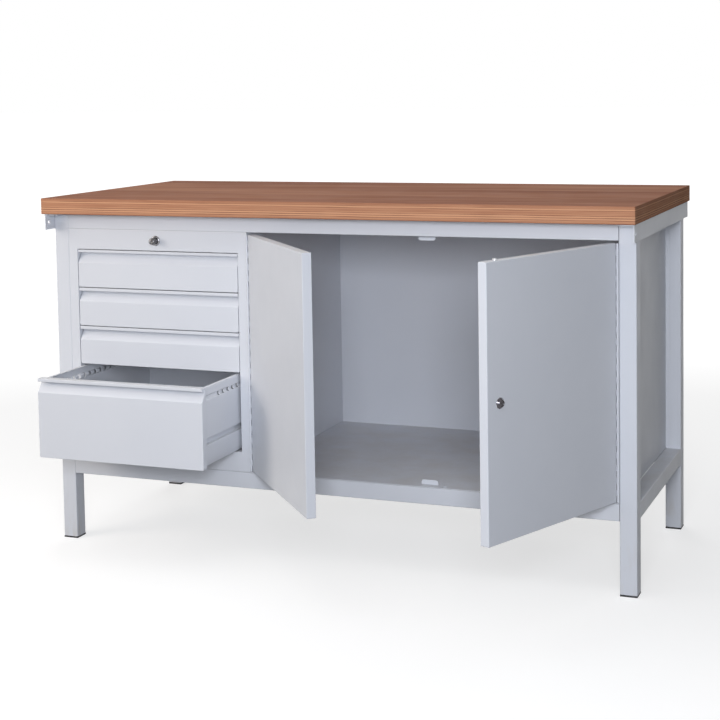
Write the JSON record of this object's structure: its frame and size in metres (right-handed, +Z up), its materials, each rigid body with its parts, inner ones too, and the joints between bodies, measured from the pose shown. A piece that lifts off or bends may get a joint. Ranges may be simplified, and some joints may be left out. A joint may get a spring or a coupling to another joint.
{
  "type": "workbench with drawers and cupboard",
  "caption": "Steel framed workbench with a thick plywood top, a bank of drawers on the left and a cupboard with hinged doors on the right.",
  "frame": {"origin": "on the floor, in the middle of the box that the bench fills at rest, with its doors and bottom drawer open as in the picture", "axes": "+X along the bench to the right seen from the front, +Y from the front to the back, +Z up"},
  "size_m": [1.5, 1.0682, 0.88],
  "materials": {
    "grey_paint": "light grey powder coat, satin, fine grained",
    "plywood": "reddish brown plywood with a clear satin finish and bare layered edges",
    "black_plastic": "black moulded plastic, matte",
    "chrome": "polished lock parts",
    "bright_steel": "zinc plated steel"
  },
  "bodies": {
    "bench": {"back_panel": "grey_paint", "cupboard_floor": "grey_paint", "door_stop_bottom": "grey_paint", "door_stop_top": "grey_paint", "drawer_1_rail_left": "bright_steel", "drawer_1_rail_right": "bright_steel", "drawer_2_rail_left": "bright_steel", "drawer_2_rail_right": "bright_steel", "drawer_3_rail_left": "bright_steel", "drawer_3_rail_right": "bright_steel", "drawer_4_rail_left": "bright_steel", "drawer_4_rail_right": "bright_steel", "drawer_bezel": "grey_paint", "drawer_lock_barrel": "chrome", "foot_front_left": "black_plastic", "foot_front_right": "black_plastic", "foot_rear_left": "black_plastic", "foot_rear_right": "black_plastic", "front_bottom_rail": "grey_paint", "front_top_rail": "grey_paint", "hinge_left_frame_leaf": "grey_paint", "hinge_left_pin": "bright_steel", "hinge_right_frame_leaf": "grey_paint", "hinge_right_pin": "bright_steel", "leg_front_left": "grey_paint", "leg_front_right": "grey_paint", "leg_rear_left": "grey_paint", "leg_rear_right": "grey_paint", "lower_side_rail_left": "grey_paint", "lower_side_rail_right": "grey_paint", "partition": "grey_paint", "rear_bottom_rail": "grey_paint", "rear_top_rail": "grey_paint", "side_panel_left": "grey_paint", "side_panel_right": "grey_paint", "upper_side_rail_left": "grey_paint", "upper_side_rail_right": "grey_paint", "worktop": "plywood"},
    "door_left": {"door_left": "grey_paint", "hinge_left_door_leaf": "grey_paint"},
    "door_right": {"door_right": "grey_paint", "hinge_right_door_leaf": "grey_paint", "door_lock_barrel": "chrome", "rod_guide_upper": "black_plastic", "rod_guide_lower": "black_plastic"},
    "door_lock": {"door_lock_plug": "chrome", "door_lock_cam": "bright_steel"},
    "rod_upper": {"lock_rod_upper": "bright_steel"},
    "rod_lower": {"lock_rod_lower": "bright_steel"},
    "drawer_lock": {"drawer_lock_plug": "chrome"},
    "drawer_1": {"drawer_1_front": "grey_paint", "drawer_1_tray": "grey_paint"},
    "drawer_2": {"drawer_2_front": "grey_paint", "drawer_2_tray": "grey_paint"},
    "drawer_3": {"drawer_3_front": "grey_paint", "drawer_3_tray": "grey_paint"},
    "drawer_4": {"drawer_4_front": "grey_paint", "drawer_4_tray": "grey_paint"}
  },
  "joints": [
    {"name": "drawer_1_slide", "type": "slide", "parent": "bench", "child": "drawer_1", "axis": [0, -1, 0], "range_m": [0, 0.4]},
    {"name": "drawer_2_slide", "type": "slide", "parent": "bench", "child": "drawer_2", "axis": [0, -1, 0], "range_m": [0, 0.4]},
    {"name": "drawer_3_slide", "type": "slide", "parent": "bench", "child": "drawer_3", "axis": [0, -1, 0], "range_m": [0, 0.4]},
    {"name": "drawer_4_slide", "type": "slide", "parent": "bench", "child": "drawer_4", "axis": [0, -1, 0], "range_m": [-0.2, 0.2]},
    {"name": "door_left_hinge", "type": "hinge", "parent": "bench", "child": "door_left", "pos_m": [-0.2026, -0.11882, 0.50465], "axis": [0, 0, -1], "range_deg": [-49.5, 40.5]},
    {"name": "door_right_hinge", "type": "hinge", "parent": "bench", "child": "door_right", "pos_m": [0.7009, -0.11882, 0.50465], "axis": [0, 0, 1], "range_deg": [-67.5, 102.5]},
    {"name": "door_lock_turn", "type": "hinge", "parent": "door_right", "child": "door_lock", "pos_m": [0.54099, -0.49717, 0.50465], "axis": [-0.9239, 0.3827, 0], "range_deg": [0, 90]},
    {"name": "rod_upper_slide", "type": "slide", "parent": "door_right", "child": "rod_upper", "axis": [0, 0, 1], "range_m": [0, 0.0155]},
    {"name": "rod_lower_slide", "type": "slide", "parent": "door_right", "child": "rod_lower", "axis": [0, 0, -1], "range_m": [0, 0.0155]},
    {"name": "drawer_lock_push", "type": "slide", "parent": "bench", "child": "drawer_lock", "axis": [0, 1, 0], "range_m": [0, 0.012]}
  ],
  "couplings": [
    {"joint": "door_lock_turn", "follows": "rod_upper_slide", "rad_per_m": 101.31},
    {"joint": "rod_lower_slide", "follows": "rod_upper_slide", "ratio": 1}
  ]
}
